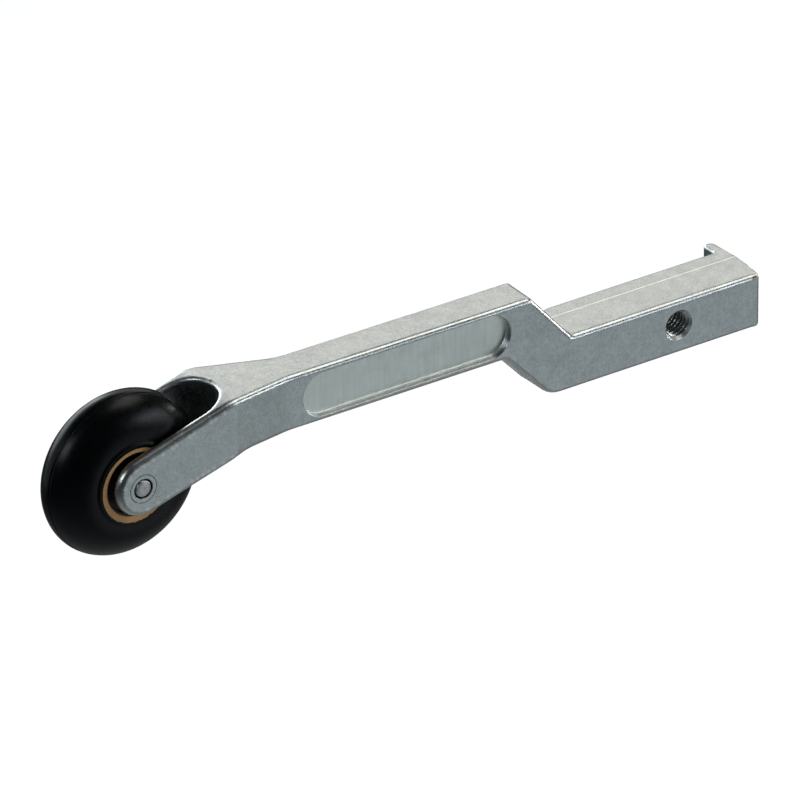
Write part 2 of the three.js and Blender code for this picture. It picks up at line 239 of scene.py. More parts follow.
def outline_distance(px, py, outline):
    """Signed distance from a grid of points to a closed outline, in its plane."""
    px, py = np.meshgrid(px, py, indexing="ij")
    nearest = np.full(px.shape, np.inf)
    inside = np.zeros(px.shape, bool)
    for (ax, ay), (bx, by) in zip(outline, outline[1:] + outline[:1]):
        ex, ey = bx - ax, by - ay
        wx, wy = px - ax, py - ay
        t = np.clip((wx * ex + wy * ey) / (ex * ex + ey * ey), 0, 1)
        nearest = np.minimum(nearest, np.hypot(wx - t * ex, wy - t * ey))
        crosses = (ay > py) != (by > py)
        if ay != by:
            inside ^= crosses & (wx < ex * wy / ey)
    return np.where(inside, -nearest, nearest)


def both(a, b, rounding):
    """Inside a and inside b, with the edge where they meet rounded outwards."""
    u = np.maximum(rounding + a, 0)
    v = np.maximum(rounding + b, 0)
    return np.minimum(-rounding, np.maximum(a, b)) + np.hypot(u, v)


def smooth_step(x, start, end):
    t = np.clip((x - start) / (end - start), 0, 1)
    return t * t * (3 - 2 * t)


def side_outline():
    """The casting seen from the front, (x, z), with each corner's own rounding."""
    normal = Vector((-math.sin(EAR_SLOPE), math.cos(EAR_SLOPE)))
    along = Vector((math.cos(EAR_SLOPE), math.sin(EAR_SLOPE)))
    centre = Vector((AXLE.x, AXLE.z)) + normal * EAR_RISE + along * EAR_TIP_SETBACK
    upper = centre + normal * EAR_RADIUS
    lower = centre - normal * EAR_RADIUS
    upper_bend_x = upper.x + (ARM_TOP_AT_FORK - upper.y) / math.tan(EAR_SLOPE)
    lower_bend_x = lower.x + (ARM_BOTTOM_AT_FORK - lower.y) / math.tan(EAR_SLOPE)
    before_ear = [
        (SHANK_END_X, SHANK_BOTTOM_Z, 2.2 * MM),
        (SHANK_END_X, SHANK_TOP_Z, 0.5 * MM),
        (STEP_FOOT_X, SHANK_TOP_Z, 0.9 * MM),
        (STEP_CREST_X, ARM_TOP_AT_STEP, 1.4 * MM),
        (upper_bend_x, ARM_TOP_AT_FORK, 14 * MM),
    ]
    after_ear = [
        (lower_bend_x, ARM_BOTTOM_AT_FORK, 14 * MM),
        (STEP_ARMPIT_X, ARM_BOTTOM_AT_STEP, 0.9 * MM),
        (STEP_HEEL_X, SHANK_BOTTOM_Z, 6 * MM),
    ]
    # The ear's round end is half a turn, so its two tangent points stand in as corners.
    tip = [
        (upper.x, upper.y, 0),
        *[
            (centre.x + EAR_RADIUS * math.cos(a), centre.y + EAR_RADIUS * math.sin(a), 0)
            for a in np.linspace(EAR_SLOPE + math.pi / 2, EAR_SLOPE + 1.5 * math.pi, 33)[1:-1]
        ],
        (lower.x, lower.y, 0),
    ]
    return round_profile([*before_ear, *tip, *after_ear], steps=8)


def plan_outline():
    """The casting seen from above, (x, y), before the slot is cut."""
    past_tip = AXLE.x - 2 * EAR_RADIUS
    return round_profile([
        (past_tip, FORK_FRONT_Y, 0),
        (FORK_ROOT_X, FORK_FRONT_Y, 9 * MM),
        (FORK_FLARE_FRONT_X, FRONT_Y, 16 * MM),
        (SHANK_END_FRONT_X, FRONT_Y, 0.6 * MM),
        (SHANK_END_X, ARM_BACK_Y, 12 * MM),
        (NOSE_END_X, NOSE_TOP_Y, 1.1 * MM),
        (NOSE_SIDE_X, NOSE_TOP_Y, 0.8 * MM),
        (NOSE_SIDE_X, SEAT_Y, 1.0 * MM),
        (STEP_FLARE_END_X, SEAT_Y, 4 * MM),
        (STEP_FLARE_START_X, ARM_BACK_Y, 4 * MM),
        (FORK_FLARE_BACK_X, ARM_BACK_Y, 14 * MM),
        (FORK_ROOT_X, FORK_BACK_Y, 9 * MM),
        (past_tip, FORK_BACK_Y, 0),
    ], steps=8)


def stadium_distance(px, py, x0, x1, y, radius):
    """Signed distance to a slot with round ends whose centres are (x0, y) and (x1, y)."""
    px, py = np.meshgrid(px, py, indexing="ij")
    along = px - np.clip(px, x0, x1)
    return np.hypot(along, py - y) - radius


def edge_rounding(xs, y, zs):
    """How round the outer edges are: fuller in front and above, tighter behind and at the shank's end."""
    to_ear = 1 - smooth_step(xs, *EAR_BLEND_X)
    middle_z = np.interp(
        xs,
        [AXLE.x, FORK_ROOT_X, STEP_ARMPIT_X, STEP_FOOT_X],
        [AXLE.z, ARM_MIDDLE_AT_FORK_Z, ARM_MIDDLE_AT_STEP_Z, 0],
    )
    above = smooth_step(zs[None, :] - middle_z[:, None], *TOP_BLEND_Z)[:, None, :]
    front = FRONT_BOTTOM_ROUND + (FRONT_TOP_ROUND - FRONT_BOTTOM_ROUND) * above
    to_ear = to_ear[:, None, None]
    front = front + (EAR_FRONT_ROUND - front) * to_ear
    back = BACK_ROUND + (EAR_BACK_ROUND - BACK_ROUND) * to_ear
    to_back = smooth_step(y, *BACK_BLEND_Y)
    to_end = smooth_step(xs, SHANK_END_FRONT_X - END_BLEND_LENGTH, SHANK_END_FRONT_X)[:, None, None]
    rounding = front + (back - front) * to_back
    return rounding + (SHANK_END_ROUND - rounding) * to_end


def casting_field(xs, ys, zs):
    """Signed distance to the casting at every grid point, without its holes and its pocket."""
    side = outline_distance(xs, zs, side_outline())[:, None, :]
    plan = outline_distance(xs, ys, plan_outline())[:, :, None]
    y = ys[None, :, None]

    # The die's halves leave a little draft on both sides of the parting plane, and a fine ridge.
    to_shank = smooth_step(xs, STEP_FLARE_START_X, STEP_FOOT_X)[:, None, None]
    past = y - (ARM_PARTING_Y + (SHANK_PARTING_Y - ARM_PARTING_Y) * to_shank)
    ridge = PARTING_RIDGE * np.exp(-((past / PARTING_WIDTH) ** 2))
    side = side + np.maximum(past, 0) * BACK_DRAFT + np.maximum(-past, 0) * FRONT_DRAFT - ridge

    body = both(side, plan, edge_rounding(xs, y, zs))
    past_tip = AXLE.x - SLOT_OVERRUN
    slot = stadium_distance(xs, ys, past_tip, SLOT_END_X - SLOT_HALF_WIDTH, AXLE.y, SLOT_HALF_WIDTH)
    return both(body, -slot[:, :, None], SLOT_MOUTH_ROUND)


def surface_net(field, low, step):
    """Vertices and quads of the field's zero surface, one vertex in each cell that it crosses."""
    inside = field < 0
    shape = np.array(field.shape) - 1
    corners = [(i, j, k) for i in (0, 1) for j in (0, 1) for k in (0, 1)]
    count = sum(
        inside[i:i + shape[0], j:j + shape[1], k:k + shape[2]].astype(np.int8) for i, j, k in corners
    )
    cells = np.argwhere((count > 0) & (count < 8))
    number = np.full(shape, -1, np.int64)
    number[tuple(cells.T)] = np.arange(len(cells))
    total = np.zeros((len(cells), 3))
    crossings = np.zeros(len(cells))
    for a in corners:
        for axis in range(3):
            if a[axis]:
                continue
            b = list(a)
            b[axis] = 1
            fa = field[tuple((cells + a).T)]
            fb = field[tuple((cells + b).T)]
            crossed = (fa < 0) != (fb < 0)
            t = np.where(crossed, fa / np.where(crossed, fa - fb, 1), 0)
            place = np.array(a, float) + np.outer(t, np.array(b) - np.array(a))
            total += place * crossed[:, None]
            crossings += crossed
    vertices = (cells + total / crossings[:, None]) * step + np.array(low)

    quads = []
    for axis in range(3):
        u, v = (axis + 1) % 3, (axis + 2) % 3
        near = [slice(None)] * 3
        far = [slice(None)] * 3
        near[axis] = slice(0, -1)
        far[axis] = slice(1, None)
        starts = np.argwhere(inside[tuple(near)] != inside[tuple(far)])
        outwards = inside[tuple(near)][tuple(starts.T)]
        around = []
        for du, dv in ((-1, -1), (0, -1), (0, 0), (-1, 0)):
            shifted = starts.copy()
            shifted[:, u] += du
            shifted[:, v] += dv
            around.append(number[tuple(shifted.T)])
        quad = np.stack(around, axis=1)
        quad[~outwards] = quad[~outwards][:, ::-1]
        quads.append(quad)
    return vertices, np.concatenate(quads)


def pocket_cutter(end_steps=40):
    """Cutter for the pocket: slightly drafted walls, a broken rim and a rounded floor corner."""
    floor_y = FRONT_Y + POCKET_DEPTH
    rim, corner = POCKET_RIM_ROUND, POCKET_FLOOR_ROUND
    section = [(rim + 0.3 * MM, FRONT_Y - 0.3 * MM)]
    for k in range(7):
        angle = math.pi / 2 * k / 6
        section.append((rim - rim * math.sin(angle), FRONT_Y + rim - rim * math.cos(angle)))
    for k in range(7):
        angle = math.pi / 2 * k / 6
        inset = (floor_y - corner - FRONT_Y) * POCKET_DRAFT + corner * (1 - math.cos(angle))
        section.append((-inset, floor_y - corner + corner * math.sin(angle)))
    turns = np.linspace(-math.pi / 2, math.pi / 2, end_steps + 1)
    spokes = [(POCKET_RIGHT_X, a) for a in turns] + [(POCKET_LEFT_X, a + math.pi) for a in turns]
    vertices = [
        (x + (POCKET_RADIUS + offset) * math.cos(a), y, POCKET_Z + (POCKET_RADIUS + offset) * math.sin(a))
        for offset, y in section for x, a in spokes
    ]
    count = len(spokes)
    faces = [list(range(count)), list(range(len(vertices) - count, len(vertices)))[::-1]]
    for row in range(len(section) - 1):
        for i in range(count):
            a, b = row * count + i, row * count + (i + 1) % count
            faces.append([b, a, a + count, b + count])
    return new_object("pocket_cutter", vertices, faces)


def threaded_rod(segments=CUTTER_SEGMENTS, steps_per_pitch=16):
    """Cutter with the form of an M6 thread, long enough to pass right through the shank."""
    margin = 2 * THREAD_PITCH
    length = (SEAT_Y - FRONT_Y) + 2 * margin
    rings = int(length / THREAD_PITCH * steps_per_pitch)
    vertices = []
    for ring in range(rings + 1):
        y = FRONT_Y - margin + length * ring / rings
        for i in range(segments):
            angle = 2 * math.pi * i / segments
            phase = (y / THREAD_PITCH + angle / (2 * math.pi)) % 1
            height = min(max(1.6 * (1 - abs(2 * phase - 1)) - 0.25, 0), 1)
            r = THREAD_MINOR_RADIUS + (THREAD_MAJOR_RADIUS - THREAD_MINOR_RADIUS) * height
            vertices.append((TAP_X + r * math.cos(angle), y, TAP_Z + r * math.sin(angle)))
    faces = [list(range(segments)), list(range(rings * segments, (rings + 1) * segments))[::-1]]
    for ring in range(rings):
        for i in range(segments):
            j = (i + 1) % segments
            a = ring * segments
            b = a + segments
            faces.append([a + i, b + i, b + j, a + j])
    return new_object("thread_cutter", vertices, faces)


def mouth_cutter(face_y, outward, centre, hole_radius, mouth_radius):
    """A cone that breaks a hole's edge where it meets a face, 45 degrees to it."""
    over = 0.5 * MM
    depth = mouth_radius - hole_radius
    profile = [
        (0, face_y + outward * over),
        (mouth_radius + over, face_y + outward * over),
        (hole_radius, face_y - outward * depth),
        (hole_radius * 0.5, face_y - outward * (depth + 0.5 * hole_radius)),
        (0, face_y - outward * (depth + 0.5 * hole_radius)),
    ]
    if outward > 0:
        profile.reverse()
    return turned("mouth_cutter", profile, CUTTER_SEGMENTS, centre=centre, closed=False)


def ring_groove_cutter(face_y, outward):
    """A shallow ring around the pin, where the ear was staked onto it."""
    half = 0.14 * MM
    profile = [
        (STAKE_RADIUS - half, face_y + outward * STAKE_DEPTH),
        (STAKE_RADIUS, face_y - outward * STAKE_DEPTH),
        (STAKE_RADIUS + half, face_y + outward * STAKE_DEPTH),
    ]
    if outward > 0:
        profile.reverse()
    return turned("stake_cutter", profile, CUTTER_SEGMENTS, centre=Vector((AXLE.x, 0, AXLE.z)))


def make_casting():
    pad = 3 * VOXEL
    low = CAST_LOW - Vector((pad, pad, pad))
    high = CAST_HIGH + Vector((pad, pad, pad))
    xs, ys, zs = (np.arange(a, b, VOXEL) for a, b in zip(low, high))
    vertices, quads = surface_net(casting_field(xs, ys, zs), low, VOXEL)
    casting = new_object("cast_arm", vertices.tolist(), quads.tolist())

    cut(casting, pocket_cutter())
    cut(casting, threaded_rod())
    tap = Vector((TAP_X, 0, TAP_Z))
    for face_y, outward in ((FRONT_Y, -1), (SEAT_Y, 1)):
        cut(casting, mouth_cutter(face_y, outward, tap, THREAD_MINOR_RADIUS, THREAD_MOUTH_RADIUS))

    axle = Vector((AXLE.x, 0, AXLE.z))
    middle = (FORK_FRONT_Y + FORK_BACK_Y) / 2
    reach = (FORK_BACK_Y - FORK_FRONT_Y) / 2 + 1 * MM
    bore = [
        (0, middle - reach),
        (PIN_BORE_RADIUS, middle - reach),
        (PIN_BORE_RADIUS, middle + reach),
        (0, middle + reach),
    ]
    cut(casting, turned("bore_cutter", bore, CUTTER_SEGMENTS, centre=axle, closed=False))
    for face_y, outward in ((FORK_FRONT_Y, -1), (FORK_BACK_Y, 1)):
        rim = PIN_BORE_RADIUS + PIN_BORE_RIM
        cut(casting, mouth_cutter(face_y, outward, axle, PIN_BORE_RADIUS, rim))
        cut(casting, ring_groove_cutter(face_y, outward))
    casting.data.shade_smooth()
    return sharpen(casting)


# ---- Roller --------------------------------------------------------------------------------

TYRE_RADIUS = (TYRE_HIGH.z - TYRE_LOW.z) / 2
TYRE_HALF_WIDTH = (TYRE_HIGH.y - TYRE_LOW.y) / 2
HUB_RADIUS = (HUB_HIGH.z - HUB_LOW.z) / 2
HUB_HALF_WIDTH = (HUB_HIGH.y - HUB_LOW.y) / 2
TYRE_FLANK_RADIUS = 9 * MM
TYRE_BORE_RADIUS = 8.53 * MM
TYRE_CROWN_POWER = 1.9
TYRE_PARTING_Y = -1.4 * MM
TYRE_PARTING_DEPTH = 0.16 * MM
TYRE_PARTING_WIDTH = 0.13 * MM
HUB_BORE_RADIUS = 6.53 * MM
ROUND_SEGMENTS = 160
PIN_SEGMENTS = 96
FLASH_SEGMENTS = 360
FLASH_RADIUS = 8.12 * MM
FLASH_THICKNESS = 0.08 * MM
FLASH_NARROW_ANGLE = math.radians(290)
FLASH_DRIFT = 0.32 * MM
FLASH_RAGGED = 0.03 * MM
FLASH_TORN = 0.42 * MM
FLASH_WAVES = (23, 37, 61, 79)
FLASH_LIFT = 0.01 * MM


def crown_radius(y):
    """Radius of the tyre's crown: a superellipse, with the groove of the mould's parting line."""
    fullness = max(1 - abs(y / TYRE_HALF_WIDTH) ** TYRE_CROWN_POWER, 0)
    rise = (TYRE_RADIUS - TYRE_FLANK_RADIUS) * fullness ** (1 / TYRE_CROWN_POWER)
    groove = math.exp(-(((y - TYRE_PARTING_Y) / TYRE_PARTING_WIDTH) ** 2))
    return TYRE_FLANK_RADIUS + rise - TYRE_PARTING_DEPTH * groove


def flash_wobble(angle, radius, y):
    """The film of rubber on the sleeve's face is off centre, and torn where it is narrowest."""
    if radius > TYRE_BORE_RADIUS or abs(y) < HUB_HALF_WIDTH:
        return 0
    towards = math.cos(angle - FLASH_NARROW_ANGLE)
    torn = max(towards, 0) ** 2
    ragged = sum(math.sin(angle * k + k * k) / math.sqrt(k) for k in FLASH_WAVES)
    furthest = TYRE_BORE_RADIUS - FLASH_RADIUS - FLASH_RAGGED
    return min(FLASH_DRIFT * towards + (FLASH_RAGGED + FLASH_TORN * torn) * ragged, furthest)


def make_tyre():
    """Rubber ring with its crown, its parting groove, and a film of flash on the sleeve's faces."""
    around = [TYRE_HALF_WIDTH * math.sin(angle) for angle in np.linspace(-math.pi / 2, math.pi / 2, 81)]
    groove = [TYRE_PARTING_Y + offset for offset in np.linspace(-0.4, 0.4, 21) * MM]
    crown = [(crown_radius(y), y) for y in sorted(around + groove)]
    film = HUB_HALF_WIDTH + FLASH_THICKNESS
    under = HUB_HALF_WIDTH + FLASH_LIFT
    film_radius = TYRE_BORE_RADIUS + 0.1 * MM
    profile = [
        (FLASH_RADIUS, film),
        (FLASH_RADIUS, under),
        (TYRE_BORE_RADIUS, under),
        (TYRE_BORE_RADIUS, -under),
        (FLASH_RADIUS, -under),
        (FLASH_RADIUS, -film),
        (film_radius, -film),
        *crown,
        (film_radius, film),
    ]
    return turned("rubber_tyre", profile, FLASH_SEGMENTS, wobble=flash_wobble)


def make_sleeve():
    bevel = 0.42 * MM
    edge = 0.1 * MM
    half = HUB_HALF_WIDTH
    profile = round_profile([
        (HUB_RADIUS, -half, edge),
        (HUB_RADIUS, half, edge),
        (HUB_BORE_RADIUS + bevel, half, 0.05 * MM),
        (HUB_BORE_RADIUS, half - bevel, 0.05 * MM),
        (HUB_BORE_RADIUS, -half + bevel, 0.05 * MM),
        (HUB_BORE_RADIUS + bevel, -half, 0.05 * MM),
    ])
    return sharpen(turned("bearing_sleeve", profile, ROUND_SEGMENTS))


def make_pin():
    """Axle pin with deeply broken edges and a faint turning centre on each end."""
    half = (PIN_HIGH.y - PIN_LOW.y) / 2
    radius = (PIN_HIGH.z - PIN_LOW.z) / 2
    bevel = 0.3 * MM
    dish = 0.25 * MM
    sink = 0.06 * MM
    brow = 0.05 * MM
    dip = 0.03 * MM
    end = [
        (0, -half + sink),
        (dish, -half + 0.4 * sink),
        (2.2 * dish, -half),
        (radius - bevel - brow, -half),
        (radius - bevel, -half + dip),
        (radius, -half + 2 * bevel),
    ]
    profile = end + [(r, -y) for r, y in reversed(end)]
    return sharpen(turned("steel_axle_pin", profile, PIN_SEGMENTS, closed=False))


# ---- Materials -----------------------------------------------------------------------------

class Finish:
    """A node material under construction, with short names for the nodes it needs."""

    def __init__(self, name, **sockets):
        self.material = bpy.data.materials.new(name)
        self.material.use_nodes = True
        self.tree = self.material.node_tree
        self.shader = self.tree.nodes["Principled BSDF"]
        for label, value in sockets.items():
            self.shader.inputs[label.replace("_", " ")].default_value = value
        self.place = self.node("ShaderNodeTexCoord").outputs["Object"]

    def node(self, kind, **settings):
        made = self.tree.nodes.new(kind)
        for key, value in settings.items():
            setattr(made, key, value)
        return made

    def link(self, source, target):
        self.tree.links.new(source, target)

    def math(self, operation, a, b=0.0):
        made = self.node("ShaderNodeMath", operation=operation)
        for value, socket in zip((a, b), made.inputs):
            if isinstance(value, (int, float)):
                socket.default_value = value
            else:
                self.link(value, socket)
        return made.outputs[0]

    def product(self, first, *others):
        """The product of several masks."""
        for other in others:
            first = self.math("MULTIPLY", first, other)
        return first

    def within(self, value, low, high, soft):
        """A mask that is 1 from low to high and falls to 0 over a soft edge outside."""
        return self.product(
            self.ranged(value, low - soft, low),
            self.ranged(value, high, high + soft, 1, 0),
        )

    def coordinates(self):
        """The position's x, y and z."""
        parts = self.node("ShaderNodeSeparateXYZ")
        self.link(self.place, parts.inputs[0])
        return parts.outputs[0], parts.outputs[1], parts.outputs[2]

    def noise(self, size, detail=4.0, roughness=0.55, stretch=(1, 1, 1), place=None):
        """Noise whose largest features are about size metres across."""
        mapping = self.node("ShaderNodeMapping")
        mapping.inputs["Scale"].default_value = [s / size for s in stretch]
        self.link(place or self.place, mapping.inputs["Vector"])
        texture = self.node("ShaderNodeTexNoise")
        texture.inputs["Scale"].default_value = 1.0
        texture.inputs["Detail"].default_value = detail
        texture.inputs["Roughness"].default_value = roughness
        self.link(mapping.outputs[0], texture.inputs["Vector"])
        return texture.outputs["Fac"]

    def ranged(self, value, low, high, to_low=0.0, to_high=1.0):
        """value from low..high to to_low..to_high, held at the ends."""
        made = self.node("ShaderNodeMapRange")
        for label, number in (
            ("From Min", low), ("From Max", high), ("To Min", to_low), ("To Max", to_high),
        ):
            made.inputs[label].default_value = number
        self.link(value, made.inputs["Value"])
        return made.outputs[0]

    def blend(self, amount, first, second):
        """A colour from first to second. Either may be a colour or a socket."""
        made = self.node("ShaderNodeMix", data_type="RGBA")
        self.link(amount, made.inputs[0])
        for value, socket in ((first, made.inputs[6]), (second, made.inputs[7])):
            if isinstance(value, tuple):
                socket.default_value = (*value, 1)
            else:
                self.link(value, socket)
        return made.outputs[2]

    def colour(self, source):
        self.link(source, self.shader.inputs["Base Color"])

    def roughness(self, source):
        self.link(source, self.shader.inputs["Roughness"])

    def bump(self, *layers):
        """Stacks (height, depth in metres) layers of bump."""
        below = None
        for height, depth in layers:
            made = self.node("ShaderNodeBump")
            made.inputs["Strength"].default_value = 1.0
            made.inputs["Distance"].default_value = depth
            self.link(height, made.inputs["Height"])
            if below:
                self.link(below, made.inputs["Normal"])
            below = made.outputs[0]
        self.link(below, self.shader.inputs["Normal"])

    def around_axle(self):
        """Distance from the axle's line."""
        shifted = self.node("ShaderNodeVectorMath", operation="SUBTRACT")
        shifted.inputs[1].default_value = AXLE
        self.link(self.place, shifted.inputs[0])
        parts = self.node("ShaderNodeSeparateXYZ")
        self.link(shifted.outputs[0], parts.inputs[0])
        square = self.math(
            "ADD",
            self.math("MULTIPLY", parts.outputs[0], parts.outputs[0]),
            self.math("MULTIPLY", parts.outputs[2], parts.outputs[2]),
        )
        return self.math("SQRT", square)


def zinc_skin(finish, grain, edge):
    """Colour of the casting's skin: mottled, grainy, and lighter along its convex edges."""
    blotch = finish.ranged(finish.noise(4 * MM, detail=6, roughness=0.65), 0.35, 0.68)
    cloud = finish.ranged(finish.noise(22 * MM, detail=3), 0.3, 0.7)
    flow = finish.noise(1.3 * MM, detail=4, roughness=0.6, stretch=(1, 1, 0.12))

    skin = finish.blend(blotch, (0.40, 0.425, 0.425), (0.50, 0.52, 0.51))
    skin = finish.blend(finish.ranged(cloud, 0, 1, 0, 0.5), skin, (0.44, 0.455, 0.445))
    skin = finish.blend(finish.ranged(flow, 0.5, 0.75, 0, 0.35), skin, (0.55, 0.55, 0.53))
    skin = finish.blend(finish.ranged(grain, 0.5, 0.7, 0, 0.4), skin, (0.66, 0.67, 0.65))
    skin = finish.blend(finish.ranged(grain, 0.5, 0.3, 0, 0.4), skin, (0.25, 0.27, 0.275))
    return finish.blend(edge, skin, (0.72, 0.72, 0.7))


def pocket_mask(finish, x, y, z):
    """1 on the pocket's floor and 0 on the rest of the casting."""
    return finish.product(
        finish.within(x, POCKET_LEFT_X - 4.8 * MM, POCKET_RIGHT_X + 4.8 * MM, 0.2 * MM),
        finish.within(y, FRONT_Y + 0.9 * MM, FRONT_Y + 1.8 * MM, 0.3 * MM),
        finish.within(z, POCKET_Z - 4.6 * MM, POCKET_Z + 4.6 * MM, 0.3 * MM),
    )


def cast_zinc():
    """Satin die-cast zinc, with the die's marks, a painted highlight along the parting line and painted
    shade around the pin.
    """
    finish = Finish("cast_zinc", Metallic=1.0)
    x, y, z = finish.coordinates()
    grain = finish.noise(0.5 * MM, detail=4, roughness=0.7)
    pointiness = finish.node("ShaderNodeNewGeometry").outputs["Pointiness"]
    edge = finish.ranged(pointiness, 0.512, 0.55, 0, 0.8)
    skin = zinc_skin(finish, grain, edge)

    # The pocket's floor keeps its raw, paler die skin with faint streaks across the arm.
    in_pocket = pocket_mask(finish, x, y, z)
    streaks = finish.noise(0.9 * MM, detail=3, stretch=(1, 1, 0.08))
    pale = finish.product(in_pocket, finish.ranged(streaks, 0.35, 0.65, 0.72, 0.9))
    skin = finish.blend(pale, skin, (0.86, 0.885, 0.835))

    # A painted highlight along the fine ridge of the parting line, on the shank's top.
    seam = finish.math("ABSOLUTE", finish.math("SUBTRACT", y, SHANK_PARTING_Y))
    on_shank = finish.ranged(x, STEP_FOOT_X - 1 * MM, STEP_FOOT_X)
    seam_highlight = finish.product(finish.ranged(seam, 0.08 * MM, 0.3 * MM, 0.8, 0), on_shank)
    skin = finish.blend(seam_highlight, skin, (0.8, 0.79, 0.76))

    # Painted shade: near-black on the bore's rim in the gap around the pin, and a faint painted shadow in
    # the ring where the ear was staked.
    radius = finish.around_axle()
    staked = finish.math("ABSOLUTE", finish.math("SUBTRACT", radius, STAKE_RADIUS))
    skin = finish.blend(finish.ranged(staked, 0, 0.25 * MM, 0.12, 0), skin, (0.12, 0.13, 0.14))
    skin = finish.blend(finish.ranged(radius, 2.1 * MM, 2.3 * MM, 0.9, 0), skin, (0.02, 0.02, 0.025))
    finish.colour(skin)

    rough = finish.ranged(finish.noise(2.2 * MM, detail=5), 0.3, 0.7, 0.24, 0.34)
    rough = finish.math("ADD", rough, finish.math("MULTIPLY", edge, 0.14))
    finish.roughness(finish.math("ADD", rough, finish.math("MULTIPLY", in_pocket, 0.15)))
    finish.bump(
        (finish.noise(6 * MM, detail=2), 0.07 * MM),
        (finish.noise(1.2 * MM, detail=3, roughness=0.5), 0.014 * MM),
        (grain, 0.018 * MM),
    )
    return finish.material


def tyre_rubber():
    """Moulded black rubber: faint bloom, soft gloss and a fine mould texture."""
    finish = Finish("tyre_rubber", Metallic=0.0, Specular_IOR_Level=0.19)
    bloom = finish.ranged(finish.noise(5 * MM, detail=5, roughness=0.7), 0.45, 0.8)
    finish.colour(finish.blend(bloom, (0.0004, 0.0006, 0.001), (0.002, 0.0025, 0.0035)))
    finish.roughness(finish.ranged(finish.noise(1.5 * MM, detail=5), 0.3, 0.7, 0.25, 0.34))
    finish.bump(
        (finish.noise(2.5 * MM, detail=3), 0.02 * MM),
        (finish.noise(0.25 * MM, detail=2), 0.003 * MM),
    )
    return finish.material


def sleeve_bronze():
    """Tan sintered bronze: open grain, turning rings, and painted shade in the bore and on its chamfer."""
    finish = Finish("sleeve_bronze", Metallic=0.1)
    grain = finish.ranged(finish.noise(0.35 * MM, detail=4, roughness=0.7), 0.35, 0.7)
    tone = finish.blend(grain, (0.78, 0.38, 0.15), (1.0, 0.6, 0.27))
    stain = finish.ranged(finish.noise(3 * MM, detail=4), 0.52, 0.75, 0, 0.45)
    tone = finish.blend(stain, tone, (0.5, 0.24, 0.1))
    radius = finish.around_axle()
    # Painted shade: the bronze turns near black in the bore and on its chamfer.
    bore = finish.ranged(radius, HUB_BORE_RADIUS + 0.35 * MM, HUB_BORE_RADIUS + 0.5 * MM, 0.92, 0)
    tone = finish.blend(bore, tone, (0.02, 0.008, 0.005))
    finish.colour(tone)
    finish.roughness(finish.ranged(grain, 0, 1, 0.48, 0.7))
    rings = finish.math("SINE", finish.math("MULTIPLY", radius, 2 * math.pi / (0.16 * MM)))
    finish.bump((rings, 0.004 * MM), (grain, 0.015 * MM))
    return finish.material


def turned_steel(name, colour, pitch, base_roughness):
    """Machined steel with turning marks around the axle."""
    finish = Finish(name, Metallic=1.0)
    radius = finish.around_axle()
    marks = finish.math("SINE", finish.math("MULTIPLY", radius, 2 * math.pi / pitch))
    cloud = finish.ranged(finish.noise(1.4 * MM, detail=4), 0.3, 0.7)
    darker = tuple(0.78 * c for c in colour)
    finish.colour(finish.blend(cloud, darker, colour))
    finish.roughness(finish.ranged(cloud, 0, 1, base_roughness, base_roughness + 0.12))
    finish.bump((marks, 0.003 * MM), (finish.noise(0.3 * MM), 0.004 * MM))
    return finish.material


def seal_rubber():
    finish = Finish("seal_rubber", Metallic=0.0)
    cloud = finish.ranged(finish.noise(1.2 * MM, detail=4), 0.35, 0.7)
    finish.colour(finish.blend(cloud, (0.006, 0.006, 0.007), (0.014, 0.014, 0.016)))
    finish.roughness(finish.ranged(cloud, 0, 1, 0.45, 0.62))
    finish.bump((finish.noise(0.2 * MM), 0.004 * MM))
    return finish.material


def cage_nylon():
    finish = Finish("cage_nylon", Metallic=0.0)
    cloud = finish.ranged(finish.noise(1.0 * MM, detail=4), 0.35, 0.7)
    finish.colour(finish.blend(cloud, (0.62, 0.56, 0.42), (0.74, 0.69, 0.56)))
    finish.roughness(finish.ranged(cloud, 0, 1, 0.42, 0.55))
    finish.bump((finish.noise(0.3 * MM), 0.004 * MM))
    return finish.material


def dress(piece, material, body, slot, *nodes):
    """Gives a new piece its material and the body it rides on, and hides the nodes it stands for. The slot
    is not used.
    """
    piece.data.materials.clear()
    piece.data.materials.append(material)
    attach(piece, body)
    if nodes:
        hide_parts(*nodes)
    return piece


def refinish(node, material):
    """Gives a CAD node that stays its material."""
    node_object = frame["nodes"][node]
    node_object.data.materials.clear()
    node_object.data.materials.append(material)


# ---- Studio --------------------------------------------------------------------------------

VIEW_AZIMUTH = math.radians(-34.32)
VIEW_ELEVATION = math.radians(28.36)
VIEW_ROLL = math.radians(-0.46)
VIEW_DISTANCE = 2.174
VIEW_AIM = Vector((-49.32, -4.16, -1.44)) * MM
VIEW_LENS = 487.1
FLOOR_Z = -1.5
FLOOR_HALF_WIDTH = 6
ARM_CENTRE = Vector((-0.05, 0, 0))
WARM = (1, 0.985, 0.94)
COOL = (0.85, 0.95, 1)
BEYOND = Vector((1.55, 2.32, FLOOR_Z))

# Name, place, what it faces, width and height in metres, watts, colour.
SOFTBOXES = (
    ("back_softbox", (0.85, 1.2, 0.85), ARM_CENTRE, 1.8, 0.9, 6.6, WARM),
    ("overhead_softbox", (0.6, -0.26, 1.2), ARM_CENTRE, 0.9, 0.66, 5.4, WARM),
    ("left_softbox", (-1.15, -0.32, 0.62), AXLE, 0.5, 0.4, 3.0, COOL),
    ("back_left_softbox", (-0.28, 1.0, 0.86), ARM_CENTRE, 0.5, 0.35, 0.4, COOL),
    ("left_back_panel", (-1.05, 0.8, 0.2), AXLE, 1.3, 1.3, 3.4, COOL),
    ("front_right_softbox", (0.92, -0.88, 0.28), ARM_CENTRE, 0.8, 0.36, 3.6, COOL),
    ("low_front_softbox", (0.62, -0.95, -0.55), ARM_CENTRE, 0.9, 0.9, 1.25, COOL),
    ("low_back_softbox", (-0.22, 1.2, 0.33), AXLE, 1.3, 0.7, 9.5, COOL),
    ("right_softbox", (1.3, -0.05, 0.02), ARM_CENTRE, 0.3, 0.3, 3.6, WARM),
)


